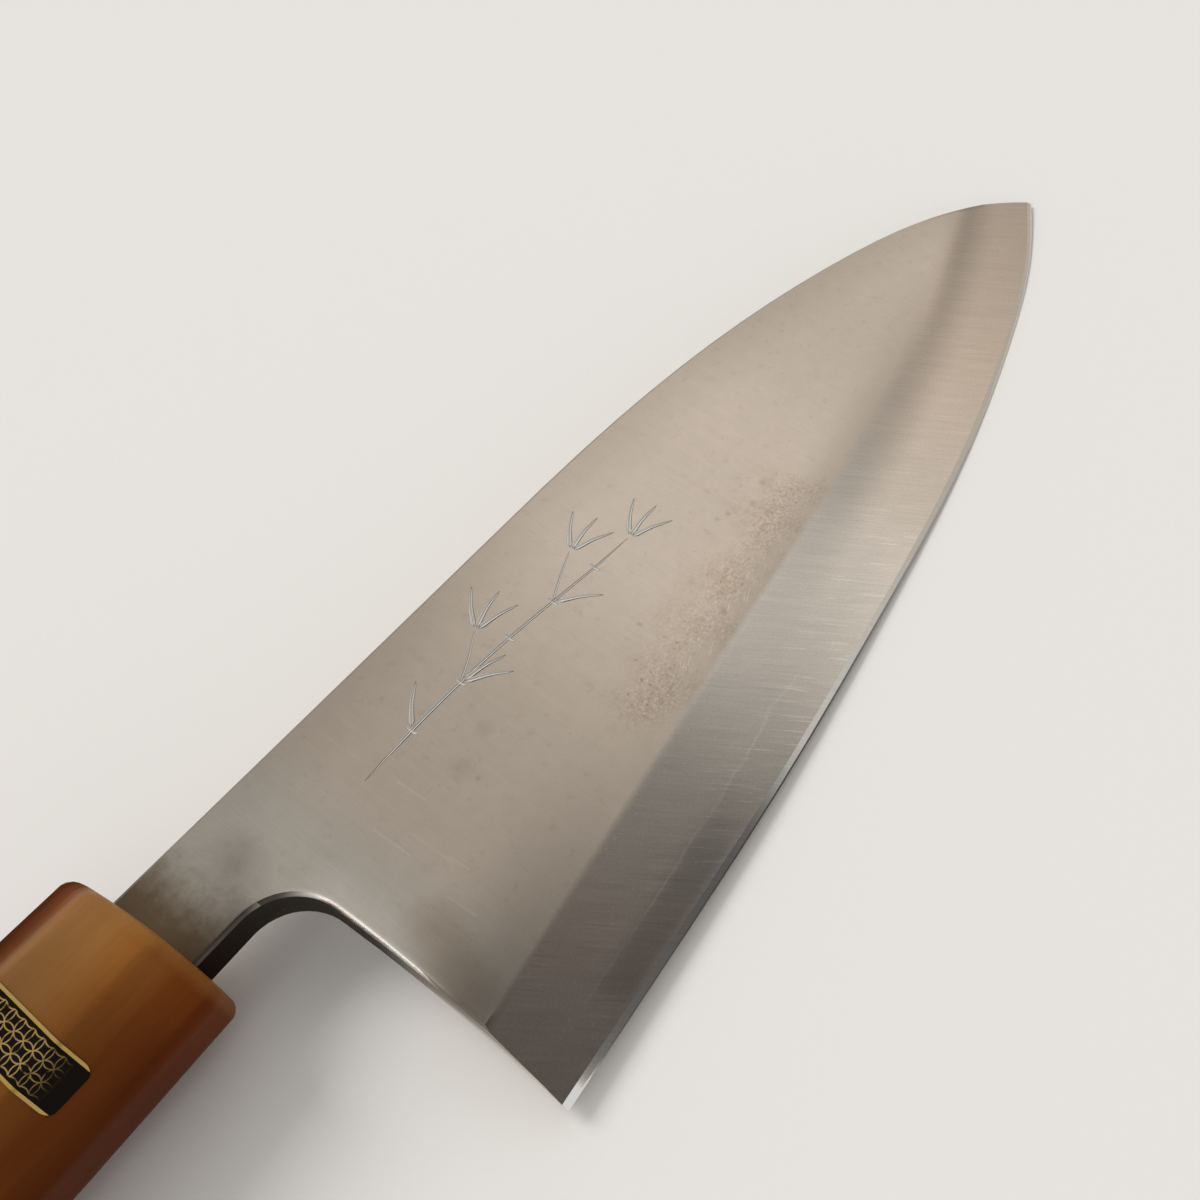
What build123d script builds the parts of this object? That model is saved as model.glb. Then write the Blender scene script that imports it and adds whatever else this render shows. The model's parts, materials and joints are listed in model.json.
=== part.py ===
from build123d import *
import math
import os

# Deba knife, all sizes in millimetres. It is modelled with the flat side of its blade in the XY plane:
# X runs from the heel to the tip, Y from the edge to the spine, Z out of the bevelled side.
# At the end it is laid down on its flat side, the way such a knife lies on a table.

# Blade, measured from the heel corner of the edge
blade_length = 168.0
heel_height = 54.5
spine_thickness = 6.5
tip_thickness = 2.2
face_fall = 0.8
back_hollow = 0.5

# Outline and ridge line of the blade. Each row is one station along the blade: the share of the
# blade length, then the heights of the edge, the ridge and the spine as shares of the heel height.
outline_shares = (
    (0.00, 0.000, 0.219, 1.000),
    (0.10, 0.014, 0.257, 1.000),
    (0.25, 0.038, 0.309, 1.000),
    (0.45, 0.094, 0.371, 0.995),
    (0.65, 0.174, 0.449, 0.936),
    (0.80, 0.276, 0.561, 0.837),
    (0.92, 0.393, 0.677, 0.697),
    (1.00, 0.512, 0.766, 0.512),
)
straight_spine_share = 0.25
tip_slope_share = 1.05

# Where along the edge curve the lying knife touches the table
contact_share = 0.79

# Bevels: the wide bevel runs from the ridge to just above the edge, and a small one forms the edge
edge_shoulder = 0.45
edge_land = 0.12
small_bevel_width = 0.9
top_chamfer = 0.5
under_chamfer = 0.3

# Hollow ground into the flat side, inside a flat rim
hollow_depth = 0.35
hollow_rim = 3.2
hollow_runout = 14.0

# Hard steel layer, forge-welded under the soft iron, with a scarfed end behind the heel
steel_heel_thickness = 2.45
steel_tip_thickness = 1.1
steel_behind_heel = 3.0
steel_scarf = 4.0

# Neck between the heel and the handle, and the tang hidden in the handle
neck_length = 14.2
neck_height = 13.0
neck_seat = 4.6
choil_radius = 7.8
tang_length = 93.6
tang_shoulder = 0.6
tang_end_height = 6.5
tang_end_thickness = 3.0

# Octagonal handle: its height lies along Y and its width along Z
handle_length = 133.6
front_height = 24.0
front_width = 21.5
butt_height = 28.0
butt_width = 24.5
handle_drop = 5.9
corner_share = 0.293
corner_slope_share = 0.97
long_edge_radius = 1.6
butt_chamfer = 1.0

# Domed front of the handle: its crest lies off the handle's axis, towards the edge, and its rim is
# rounded in three narrow flats
dome_radius = 95.0
dome_drop = 7.5
front_edge_radius = 1.3
middle_flat_share = 0.7
outer_flat_share = 0.25

# Ferrule: a moulded octagonal cap over the wooden tenon, with a slot for the neck in its front wall
ferrule_length = 35.6
ferrule_wall = 2.6
ferrule_front_wall = 5.6

# Foil band across the upper facets of the ferrule
band_setback = 13.6
band_width = 5.9
band_reach = 17.6
band_corner = 1.0
band_thickness = 0.15

# Clearances
slot_play = 0.15
tenon_play = 0.1
tang_play = 0.12
band_glue = 0.03

# One overrun for all cutting tools
overrun = 3.0

# Places worked out from the sizes above
ferrule_front_x = -neck_length
butt_x = ferrule_front_x - handle_length
joint_x = ferrule_front_x - ferrule_length
tenon_front_x = ferrule_front_x - ferrule_front_wall
neck_end_x = ferrule_front_x - neck_seat
tang_end_x = ferrule_front_x - tang_length
neck_bottom = heel_height - neck_height
axis_y = heel_height - handle_drop
axis_z = spine_thickness / 2
taper = (spine_thickness - tip_thickness) / blade_length
fall = face_fall / heel_height


def face_z(x, y):
    """Height of the upper blade face over the flat side."""
    return spine_thickness - taper * x - fall * (heel_height - y)


def stations():
    """Real places of the outline rows: x, edge, ridge and spine heights."""
    rows = []
    for along, edge, ridge, spine in outline_shares:
        rows.append((along * blade_length, edge * heel_height, ridge * heel_height, spine * heel_height))
    return rows


def step_out(inner, outer):
    """A row one overrun past the outer row, along the slope between the two."""
    grow = overrun / abs(outer[0] - inner[0])
    return tuple(o + (o - i) * grow for i, o in zip(inner, outer))


def run_past_ends(rows):
    """The same rows with one more at each end."""
    return [step_out(rows[1], rows[0])] + rows + [step_out(rows[-2], rows[-1])]


def blade_outline():
    """Plan of the blade and neck as one face."""
    rows = stations()
    curve_start = straight_spine_share * blade_length
    back_top = neck_bottom - choil_radius
    edge = Spline(*[(x, edge_y) for x, edge_y, ridge_y, spine_y in rows])
    curved_rows = [(x, spine_y) for x, edge_y, ridge_y, spine_y in rows if x >= curve_start]
    spine = Spline(*curved_rows, tangents=[(1, 0), (1, -tip_slope_share)])
    straight_spine = Line((neck_end_x, heel_height), curved_rows[0])
    neck_end = Line((neck_end_x, neck_bottom), (neck_end_x, heel_height))
    neck_under = Line((-choil_radius, neck_bottom), (neck_end_x, neck_bottom))
    choil = RadiusArc((0, back_top), (-choil_radius, neck_bottom), -choil_radius)
    back = ThreePointArc((0, 0), (back_hollow, back_top / 2), (0, back_top))
    return make_face([edge, spine, straight_spine, neck_end, neck_under, choil, back])


def bevel_cutter(rows):
    """Solid above a bevel. Each row gives x, then y and z of the bevel's low and high sides."""
    sections = []
    for x, low_y, low_z, high_y, high_z in rows:
        slope = (high_z - low_z) / (high_y - low_y)
        low = (x, low_y - overrun, low_z - overrun * slope)
        high = (x, high_y + overrun, high_z + overrun * slope)
        top = (x, low_y - overrun, spine_thickness + overrun)
        over = (x, high_y + overrun, spine_thickness + overrun)
        sections.append(Wire(Polyline(low, high, over, top, close=True).edges()))
    return Solid.make_loft(sections)


def wide_bevel():
    rows = []
    for x, edge_y, ridge_y, spine_y in run_past_ends(stations()):
        rows.append((x, edge_y, edge_shoulder, ridge_y, face_z(x, ridge_y)))
    return bevel_cutter(rows)


def small_bevel():
    rows = []
    for x, edge_y, ridge_y, spine_y in run_past_ends(stations()):
        slope = (face_z(x, ridge_y) - edge_shoulder) / (ridge_y - edge_y)
        inner_z = edge_shoulder + small_bevel_width * slope
        rows.append((x, edge_y, edge_land, edge_y + small_bevel_width, inner_z))
    return bevel_cutter(rows)


def hollow_cutter():
    """Long shallow hollow of the flat side, with the radius of the wheel that ground it."""
    rows = []
    for x, edge_y, ridge_y, spine_y in stations():
        half = (spine_y - edge_y) / 2 - hollow_rim
        if half > hollow_rim:
            rows.append((x, (edge_y + spine_y) / 2, half, 1))
    start = (hollow_rim, *rows[0][1:3], 0)
    full = (hollow_rim + hollow_runout, *rows[1][1:])
    end = (rows[-1][0] + hollow_runout, *rows[-1][1:3], 0)
    wheel_radius = (heel_height / 2 - hollow_rim) ** 2 / (2 * hollow_depth)
    sections = []
    for x, middle, half, ground in [start, full] + rows[2:] + [end]:
        crest = ground * half**2 / (2 * wheel_radius)
        reach = half + hollow_rim / 2
        foot = crest - reach**2 / (2 * wheel_radius)
        low = (x, middle - reach, foot)
        high = (x, middle + reach, foot)
        arch = ThreePointArc(low, (x, middle, crest), high)
        floor = Polyline(high, (x, middle + reach, -overrun), (x, middle - reach, -overrun), low)
        sections.append(Wire(arch.edges() + floor.edges()))
    return Solid.make_loft(sections)


def eased_edges(face):
    """Edges of the blade's upper or flat face that are eased: not the cutting edge or the neck's end."""
    cutting_edge = face.edges().sort_by(SortBy.LENGTH)[-1]
    neck_end = face.edges().sort_by(Axis.X)[0]
    return [edge for edge in face.edges() if edge not in (cutting_edge, neck_end)]


def back_edges(face):
    """The eased edges from the heel corner round the finger notch and along the underside of the neck."""
    return [edge for edge in eased_edges(face) if edge.center().Y < neck_bottom + neck_height / 2]


def tang(play):
    """Tapered tang inside the handle, or the hole for it when play is more than zero."""
    low = neck_bottom + tang_shoulder
    high = heel_height - tang_shoulder
    thickness = spine_thickness - 2 * tang_shoulder
    front = across(neck_end_x, (low + high) / 2) * Rectangle(high - low + 2 * play, thickness + 2 * play)
    end_size = (tang_end_height + 2 * play, tang_end_thickness + 2 * play)
    end = across(tang_end_x - play, axis_y) * Rectangle(*end_size)
    return loft([front, end], ruled=True)


def across(x, y):
    """Plane across the knife at x, centred in the blade's thickness, with its own X along the height."""
    return Plane((x, y, axis_z), x_dir=(0, 1, 0), z_dir=(-1, 0, 0))


def forged_blade():
    """Blade, neck and tang in one, before they are told apart into steel and iron."""
    body = extrude(blade_outline(), 2 * spine_thickness)
    upper_face = Plane((0, heel_height, spine_thickness), z_dir=(taper, -fall, 1))
    body = split(body, bisect_by=upper_face, keep=Keep.BOTTOM)
    body = chamfer(eased_edges(body.faces().sort_by(Axis.Z)[-1]), top_chamfer)
    body = chamfer(back_edges(body.faces().sort_by(Axis.Z)[0]), under_chamfer)
    body = body - wide_bevel() - small_bevel() - hollow_cutter()
    return body + tang(0)


def steel_zone():
    """Wedge that holds the hard steel: thick at the heel, thin at the tip, scarfed in the neck."""
    end_x = -steel_behind_heel - steel_scarf
    past_tip = blade_length + overrun
    profile = Polyline(
        (end_x, -overrun),
        (end_x, 0),
        (end_x + steel_scarf, steel_heel_thickness),
        (past_tip, steel_tip_thickness),
        (past_tip, -overrun),
        close=True,
    )
    return extrude(Plane.XZ * make_face(profile), 2 * heel_height, both=True)


def handle_corners(x):
    """The eight corners of the handle's octagon at x, in order round it."""
    along = (ferrule_front_x - x) / handle_length
    half_height = (front_height + (butt_height - front_height) * along) / 2
    half_width = (front_width + (butt_width - front_width) * along) / 2
    cut = 2 * corner_share * half_height
    quarter = [(half_height, half_width - cut * corner_slope_share), (half_height - cut, half_width)]
    upper = quarter + [(-y, z) for y, z in reversed(quarter)]
    lower = [(-y, -z) for y, z in upper]
    return [Vector(x, axis_y + y, axis_z + z) for y, z in upper + lower]


def planed_bar(front_x, rear_x, grow):
    """Octagonal bar between two places along the handle, with the handle's facets set out by grow."""
    middle = Pos((front_x + rear_x) / 2, axis_y, axis_z)
    bar = middle * Box(front_x - rear_x, 2 * butt_height, 2 * butt_height)
    front = handle_corners(ferrule_front_x)
    for this, before, rear in zip(front, front[-1:] + front[:-1], handle_corners(butt_x)):
        outward = (this - before).cross(this - rear).normalized()
        facet = Plane(this + outward * grow, z_dir=outward)
        bar = split(bar, bisect_by=facet, keep=Keep.BOTTOM)
    return bar


def front_waste():
    """What is cut away ahead of the handle's domed front."""
    block = Pos(ferrule_front_x, axis_y, axis_z) * Box(front_height, 2 * front_height, 2 * front_height)
    ball = Pos(ferrule_front_x - dome_radius, axis_y - dome_drop, axis_z) * Sphere(dome_radius)
    return block - ball


def dome_fall(y, z):
    """How far the domed front lies behind its crest, at one place of the section."""
    off_crest = math.hypot(y - axis_y + dome_drop, z - axis_z)
    return dome_radius - math.sqrt(dome_radius**2 - off_crest**2)


def off_axis(edge):
    """Distance of an edge's middle from the handle's axis."""
    middle = edge.center()
    return math.hypot(middle.Y - axis_y, middle.Z - axis_z)


def round_rim(body):
    """The rim of the domed front, rounded by a chamfer and one more along each of its two borders."""
    dome = body.faces().sort_by(Axis.X)[-1]
    body = chamfer(dome.edges(), middle_flat_share * front_edge_radius)
    faces = body.faces().sort_by(Axis.X)
    inner_borders = faces[-1].edges()
    flats = faces[-1 - len(inner_borders):-1]
    outer_borders = [max(flat.edges(), key=off_axis) for flat in flats]
    return chamfer([*inner_borders, *outer_borders], outer_flat_share * front_edge_radius)


def long_bar(grow):
    """Octagonal bar of the handle's whole length with its long edges rounded, set out by grow."""
    bar = planed_bar(ferrule_front_x + overrun, butt_x, grow)
    long_edges = bar.edges().filter_by(lambda edge: edge.length > handle_length / 2)
    return fillet(long_edges, long_edge_radius + grow)


def handle_body():
    """Outside of the whole handle, ferrule and wood in one flush form."""
    body = round_rim(long_bar(0) - front_waste())
    return chamfer(body.faces().sort_by(Axis.X)[0].edges(), butt_chamfer)


def split_handle():
    """The handle's outside, parted at the joint into the ferrule's share and the wood's."""
    joint = Plane((joint_x, axis_y, axis_z), z_dir=(1, 0, 0))
    body = handle_body()
    return split(body, bisect_by=joint, keep=Keep.TOP), split(body, bisect_by=joint, keep=Keep.BOTTOM)


def ferrule(outside):
    cavity = planed_bar(tenon_front_x, joint_x - overrun, -ferrule_wall)
    slot_high = face_z(neck_end_x, heel_height) + slot_play
    slot_middle = (ferrule_front_x, heel_height - neck_height / 2, (slot_high - slot_play) / 2)
    slot_size = (neck_height + 2 * slot_play, slot_high + slot_play, 2 * (ferrule_front_wall + overrun))
    slot = Plane(slot_middle, x_dir=(0, 1, 0), z_dir=(-1, 0, 0)) * Box(*slot_size)
    return outside - cavity - slot


def handle(outside):
    tenon = planed_bar(tenon_front_x - tenon_play, joint_x - overrun, -ferrule_wall - tenon_play)
    return outside + tenon - tang(tang_play)


def foil_band():
    middle = Plane((ferrule_front_x - band_setback - band_width / 2, axis_y, axis_z))
    cut_out = extrude(middle * RectangleRounded(band_width, band_reach, band_corner), front_width)
    return (cut_out & long_bar(band_glue + band_thickness)) - long_bar(band_glue)


def table_plane():
    """Plane that the lying knife rests on: it holds the ferrule's front lower corner, on the side of the
    edge, and touches the curved edge at the place that brings the balance point over the two contacts."""
    flat_half = front_height * (1 - 2 * corner_share) / 2
    corner_y = axis_y - flat_half + long_edge_radius * math.tan(math.radians(45 / 2))
    corner_z = axis_z - front_width / 2
    corner_x = ferrule_front_x - dome_fall(corner_y, corner_z) - front_edge_radius
    corner = Vector(corner_x, corner_y, corner_z)
    edge = Spline(*[(x, edge_y) for x, edge_y, ridge_y, spine_y in stations()])
    touch = edge @ contact_share
    up = (edge % contact_share).cross(corner - touch)
    return Plane(touch, x_dir=(1, 0, 0), z_dir=up)


def laid_down(parts):
    """All parts as the knife lies on a table, with the origin on the table under their middle."""
    to_table = table_plane().location.inverse()
    turned = {name: to_table * shape for name, shape in parts.items()}
    box = Compound(list(turned.values())).bounding_box()
    to_origin = Location((-box.center().X, -box.center().Y, -box.min.Z))
    return {name: to_origin * shape for name, shape in turned.items()}


def build_parts():
    blade = forged_blade()
    steel = steel_zone()
    front_outside, rear_outside = split_handle()
    return {
        "blade_steel": blade & steel,
        "blade_iron": blade - steel,
        "ferrule": ferrule(front_outside),
        "handle": handle(rear_outside),
        "foil_band": foil_band(),
    }


def main():
    os.makedirs("parts", exist_ok=True)
    for name, shape in laid_down(build_parts()).items():
        export_step(shape, f"parts/{name}.step")


if __name__ == "__main__":
    main()
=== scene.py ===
import json
import math
import bpy
from mathutils import Matrix, Vector


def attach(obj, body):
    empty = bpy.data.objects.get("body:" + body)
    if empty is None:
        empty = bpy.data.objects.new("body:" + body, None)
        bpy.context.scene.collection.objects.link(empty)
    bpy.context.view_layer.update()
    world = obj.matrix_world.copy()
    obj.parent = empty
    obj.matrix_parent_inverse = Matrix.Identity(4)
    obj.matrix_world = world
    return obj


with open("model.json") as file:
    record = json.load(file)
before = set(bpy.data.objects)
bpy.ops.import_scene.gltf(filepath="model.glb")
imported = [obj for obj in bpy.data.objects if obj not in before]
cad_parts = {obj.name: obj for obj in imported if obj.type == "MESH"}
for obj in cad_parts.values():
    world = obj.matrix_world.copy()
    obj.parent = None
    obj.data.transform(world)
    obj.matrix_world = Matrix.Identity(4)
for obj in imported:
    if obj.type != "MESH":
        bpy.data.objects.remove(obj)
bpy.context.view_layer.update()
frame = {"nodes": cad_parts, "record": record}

# A deba knife lying on its flat side. Every place and size is in millimetres, and becomes metres
# where Blender takes it. Places on the knife are given in the knife frame: X from the heel to the
# tip, Y from the edge to the spine, Z out of the bevelled side, with the heel corner at its origin.
# A span is a pair of values: what it steers is absent at the first and full at the second. A
# roughness is a pair too: what the grain adds, and what it is added to.
MM = 0.001

# Camera in the row frame. The focal length is for a 36 mm sensor.
CAMERA_PLACE = (-20.288, -61.241, 137.53)
CAMERA_AIM = (44.612, 6.362, 5.0)
CAMERA_ROLL = -10.35
CAMERA_LENS = 34.77
SENSOR = 36

# Knife point that the record gives as the mount called flat_side
RACK_POINT = (30.0, 52.9)

# Sizes of the blade and the handle that the finishes follow, as in the CAD model
BLADE_LENGTH = 168.0
HEEL_HEIGHT = 54.5
SPINE_THICKNESS = 6.5
TAPER = 4.3 / BLADE_LENGTH
FALL = 0.8 / HEEL_HEIGHT
EDGE_SHOULDER = 0.45
STEEL_HEEL_THICKNESS = 2.45
STEEL_WEDGE_SLOPE = 1.35 / 174.0
STEEL_WEDGE_START = -3.0
HANDLE_MIDDLE = 48.6
FERRULE_FRONT = -14.2
JOINT_PLACE = -49.8


def knife_frame():
    """Matrix from the knife frame in millimetres to the row frame in metres, from the record's mounts."""
    mounts = {mount["name"]: mount for mount in frame["record"]["mounts"]}
    up = -Vector(mounts["flat_side"]["axis"])
    along = -Vector(mounts["butt_face"]["axis"])
    across = up.cross(along)
    rack = Vector(mounts["flat_side"]["pos_m"])
    origin = rack - (along * RACK_POINT[0] + across * RACK_POINT[1]) * MM
    turn = Matrix((along * MM, across * MM, up * MM)).transposed().to_4x4()
    return Matrix.Translation(origin) @ turn


KNIFE = knife_frame()


class Nodes:
    """Builds a node tree: each call adds a node or a few and gives back the output."""

    def __init__(self, tree):
        self.tree = tree

    def add(self, kind, inputs=None, output=0, **settings):
        node = self.tree.nodes.new(kind)
        for name, value in settings.items():
            setattr(node, name, value)
        for name, value in (inputs or {}).items():
            self.feed(node.inputs[name], value)
        return node.outputs[output]

    def feed(self, socket, value):
        if isinstance(value, bpy.types.NodeSocket):
            self.tree.links.new(value, socket)
        else:
            socket.default_value = value

    def math(self, operation, *values, clamp=False):
        return self.add("ShaderNodeMath", dict(enumerate(values)), operation=operation, use_clamp=clamp)

    def plus(self, a, b):
        return self.math("ADD", a, b)

    def minus(self, a, b):
        return self.math("SUBTRACT", a, b)

    def over(self, a, b):
        return self.math("DIVIDE", a, b)

    def times(self, *factors):
        """Product of several factors."""
        result = factors[0]
        for factor in factors[1:]:
            result = self.math("MULTIPLY", result, factor)
        return result

    def linear(self, value, slope, start):
        """Value times slope, plus start."""
        return self.math("MULTIPLY_ADD", value, slope, start)

    def less(self, value, limit):
        return self.math("LESS_THAN", value, limit)

    def more(self, value, limit):
        return self.math("GREATER_THAN", value, limit)

    def size(self, value):
        return self.math("ABSOLUTE", value)

    def most(self, a, b):
        return self.math("MAXIMUM", a, b)

    def vector(self, operation, *values, output=0):
        return self.add("ShaderNodeVectorMath", dict(enumerate(values)), output, operation=operation)

    def dot(self, a, b):
        return self.vector("DOT_PRODUCT", a, b, output="Value")

    def distance(self, a, b):
        return self.vector("DISTANCE", a, b, output="Value")

    def split(self, vector):
        node = self.tree.nodes.new("ShaderNodeSeparateXYZ")
        self.feed(node.inputs[0], vector)
        return node.outputs

    def join(self, x, y, z):
        return self.add("ShaderNodeCombineXYZ", {0: x, 1: y, 2: z})

    def smooth(self, value, span, low=0.0, high=1.0):
        """Soft step from low at the span's first value to high at its second, rising or falling."""
        start, end = span
        if start > end:
            start, end, low, high = end, start, high, low
        inputs = {"Value": value, "From Min": start, "From Max": end, "To Min": low, "To Max": high}
        return self.add("ShaderNodeMapRange", inputs, interpolation_type="SMOOTHSTEP")

    def within(self, value, *spans):
        """Product of soft steps of one value."""
        return self.times(*[self.smooth(value, span) for span in spans])

    def mix(self, factor, a, b, blend="MIX"):
        """Colours a and b mixed by factor."""
        return self.add("ShaderNodeMix", {0: factor, 6: a, 7: b}, 2, data_type="RGBA", blend_type=blend)

    def mix_values(self, factor, a, b):
        return self.add("ShaderNodeMix", {0: factor, 2: a, 3: b}, data_type="FLOAT")

    def mix_vectors(self, factor, a, b):
        return self.add("ShaderNodeMix", {0: factor, 4: a, 5: b}, 1, data_type="VECTOR")

    def shade(self, colour, factor):
        """Colour times a grey factor."""
        return self.mix(1.0, colour, self.join(factor, factor, factor), blend="MULTIPLY")

    def dim(self, colour, factor, depth):
        """Colour darkened by depth where factor is one."""
        return self.shade(colour, self.linear(factor, -depth, 1.0))

    def tint(self, colour, factor, tint):
        """Colour times tint where factor is one."""
        return self.mix(factor, colour, self.mix(1.0, colour, tint, blend="MULTIPLY"))

    def grain(self, colour, value, spread):
        """Colour made darker and lighter by a noise value, as strongly as spread."""
        return self.shade(colour, self.linear(value, 2 * spread, 1 - spread))

    def noise(self, place, detail=2.0, roughness=0.5, scale=1.0, distortion=0.0):
        inputs = {"Vector": place, "Scale": scale, "Detail": detail, "Roughness": roughness}
        inputs["Distortion"] = distortion
        return self.add("ShaderNodeTexNoise", inputs)

    def drawn_noise(self, place, along, across, **settings):
        """Noise drawn out along the handle: its scale along it and across."""
        x, y, z = self.split(place)
        stretched = self.join(self.times(x, along), self.times(y, across), self.times(z, across))
        return self.noise(stretched, **settings)

    def bump(self, height, depth, normal=None):
        """Bump of the given depth in millimetres."""
        inputs = {"Height": height, "Distance": depth * MM, "Strength": 1.0}
        if normal is not None:
            inputs["Normal"] = normal
        return self.add("ShaderNodeBump", inputs)

    def rounded(self, radius):
        """Normal as if edges were rounded to a radius in metres."""
        return self.add("ShaderNodeBevel", {"Radius": radius}, samples=8)

    def true_normal(self):
        return self.add("ShaderNodeNewGeometry", output="Normal")

    def curve(self, value, points):
        """Smooth curve through points, whose places and levels lie between 0 and 1."""
        node = self.tree.nodes.new("ShaderNodeFloatCurve")
        self.feed(node.inputs["Value"], value)
        line = node.mapping.curves[0]
        line.points[0].location = points[0]
        line.points[1].location = points[-1]
        for place, level in points[1:-1]:
            line.points.new(place, level)
        node.mapping.update()
        return node.outputs[0]

    def ramp(self, value, stops):
        """Colour ramp through stops of a place between 0 and 1 and a colour."""
        node = self.tree.nodes.new("ShaderNodeValToRGB")
        self.feed(node.inputs[0], value)
        node.color_ramp.elements.remove(node.color_ramp.elements[1])
        node.color_ramp.elements[0].position = stops[0][0]
        node.color_ramp.elements[0].color = stops[0][1]
        for place, colour in stops[1:]:
            node.color_ramp.elements.new(place).color = colour
        return node.outputs[0]

    def knife_place(self):
        """The surface point in the knife frame, in millimetres."""
        place = self.add("ShaderNodeTexCoord", output="Object")
        offset = self.vector("SUBTRACT", place, KNIFE.translation)
        back = KNIFE.to_3x3().inverted()
        return self.join(*[self.dot(offset, row) for row in back])

    def knife_normal(self):
        """The face's normal in the knife frame."""
        normal = self.add("ShaderNodeNewGeometry", output="True Normal")
        axes = KNIFE.to_3x3().normalized().transposed()
        return self.join(*[self.dot(normal, axis) for axis in axes])


def new_material(name):
    material = bpy.data.materials.new(name)
    material.use_nodes = True
    nodes = Nodes(material.node_tree)
    shader = material.node_tree.nodes["Principled BSDF"]
    return material, nodes, shader


# Ridge and spine heights along the blade, in shares of its length and of the heel height
RIDGE_CURVE = (
    (0, 0.219), (0.1, 0.257), (0.25, 0.309), (0.45, 0.371), (0.65, 0.449), (0.8, 0.561), (0.92, 0.677),
    (1, 0.766),
)
SPINE_CURVE = ((0, 1), (0.25, 1), (0.45, 0.995), (0.65, 0.936), (0.8, 0.837), (0.92, 0.697), (1, 0.512))

# Limits of a face's normal that tell the faces of the blade apart
UPWARD = 0.6
STEEP = 0.5
BEVEL_LEAN = -0.08
EASED_MIDDLE = 0.7
EASED_SPREAD = 0.1
SPINE_LEAN = 0.3
BACK_LEAN = -0.2
NECK_LEAN = -0.3

# The small bevel's normal leans over by more than this at the heel, and by less towards the tip
SMALL_BEVEL_TILT = 0.545
SMALL_BEVEL_EASE = -0.0021

# The neck lies behind this place, and the unpolished walls, darkened with painted shade, behind the other,
# within these heights
NECK_START = -0.5
DULL_START = 1.0
DULL_HEIGHTS = ((47.0, 43.0), (8.0, 30.0))
DULL_SHARE = 0.95


def face_plane(nodes, x, y):
    """Height of the plane of the upper face in the knife frame."""
    return nodes.linear(y, FALL, nodes.linear(x, -TAPER, SPINE_THICKNESS - FALL * HEEL_HEIGHT))


class Blade:
    """What the finishes of the blade follow: the place in the knife frame, and masks of its faces.
    Above is the height over the ridge line. Below runs from 0 at the upper face to about 1 at the edge."""

    def __init__(self, nodes):
        self.nodes = nodes
        self.x, self.y, self.z = nodes.split(nodes.knife_place())
        self.flat = nodes.join(self.x, self.y, 0.0)
        self.share = nodes.over(self.x, BLADE_LENGTH)
        ridge = nodes.times(nodes.curve(self.share, RIDGE_CURVE), HEEL_HEIGHT)
        self.above = nodes.minus(self.y, ridge)
        plane = face_plane(nodes, self.x, self.y)
        self.below = nodes.over(nodes.minus(plane, self.z), nodes.minus(plane, EDGE_SHOULDER))
        normal_x, normal_y, self.normal_z = nodes.split(nodes.knife_normal())
        self.upward = nodes.more(self.normal_z, UPWARD)
        self.ahead = nodes.more(self.x, NECK_START)
        self.bevel = nodes.times(self.upward, self.ahead, nodes.less(normal_y, BEVEL_LEAN))
        steep = nodes.linear(self.x, SMALL_BEVEL_EASE, nodes.plus(normal_y, SMALL_BEVEL_TILT))
        self.small = nodes.times(self.bevel, nodes.less(steep, 0.0))
        self.under = nodes.less(self.normal_z, -STEEP)
        self.wall = nodes.less(nodes.size(self.normal_z), STEEP)
        eased = nodes.less(nodes.size(nodes.minus(self.normal_z, EASED_MIDDLE)), EASED_SPREAD)
        self.spine_side = nodes.times(eased, nodes.more(normal_y, SPINE_LEAN))
        self.back_side = nodes.times(eased, nodes.less(normal_x, BACK_LEAN))
        behind = nodes.less(self.x, NECK_START)
        self.neck_side = nodes.times(eased, nodes.less(normal_y, NECK_LEAN), behind)
        heights = nodes.within(self.y, *DULL_HEIGHTS)
        notch = nodes.times(heights, nodes.less(self.x, DULL_START))
        self.dull_shaded_wall = nodes.times(nodes.less(self.normal_z, STEEP), notch, DULL_SHARE)

    def noise(self, **settings):
        return self.nodes.noise(self.flat, **settings)

    def patches(self, limits, **settings):
        """Noise cut down to patches between two limits."""
        return self.nodes.smooth(self.noise(**settings), limits)

    def along(self, *spans):
        """Soft steps along the blade."""
        return self.nodes.within(self.x, *spans)


# Grinding lines: the direction that they run in on each face, in the knife frame
ACROSS = (0.0, 1.0)
BEVEL_LINES = (0.634, -0.773)
LINE_ROUGHNESS = 0.6


def line_place(nodes, x, y, direction):
    """Flat coordinates in which the grinding lines run along the second axis."""
    run_x, run_y = direction
    along = nodes.plus(nodes.times(x, run_x), nodes.times(y, run_y))
    aside = nodes.minus(nodes.times(x, run_y), nodes.times(y, run_x))
    return nodes.join(aside, along, 0.0)


def hairlines(nodes, flat, spacing, length, detail=2.0):
    """Noise drawn out into lines of that spacing and length, from 0 to 1."""
    stretched = nodes.vector("MULTIPLY", flat, (1 / spacing, 1 / length, 1.0))
    return nodes.noise(stretched, detail=detail, roughness=LINE_ROUGHNESS)


def segment_distance(nodes, flat, start, end):
    """Distance to the straight stretch between two places on the face."""
    start = Vector((*start, 0.0))
    run = Vector((*end, 0.0)) - start
    offset = nodes.vector("SUBTRACT", flat, start)
    share = nodes.math("DIVIDE", nodes.dot(offset, run), run.length_squared, clamp=True)
    nearest = nodes.vector("SCALE", run)
    nodes.feed(nearest.node.inputs["Scale"], share)
    return nodes.distance(offset, nearest)


# Tint of marks that are brighter than the metal round them
PALE = (1.5, 1.5, 1.5, 1)

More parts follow.
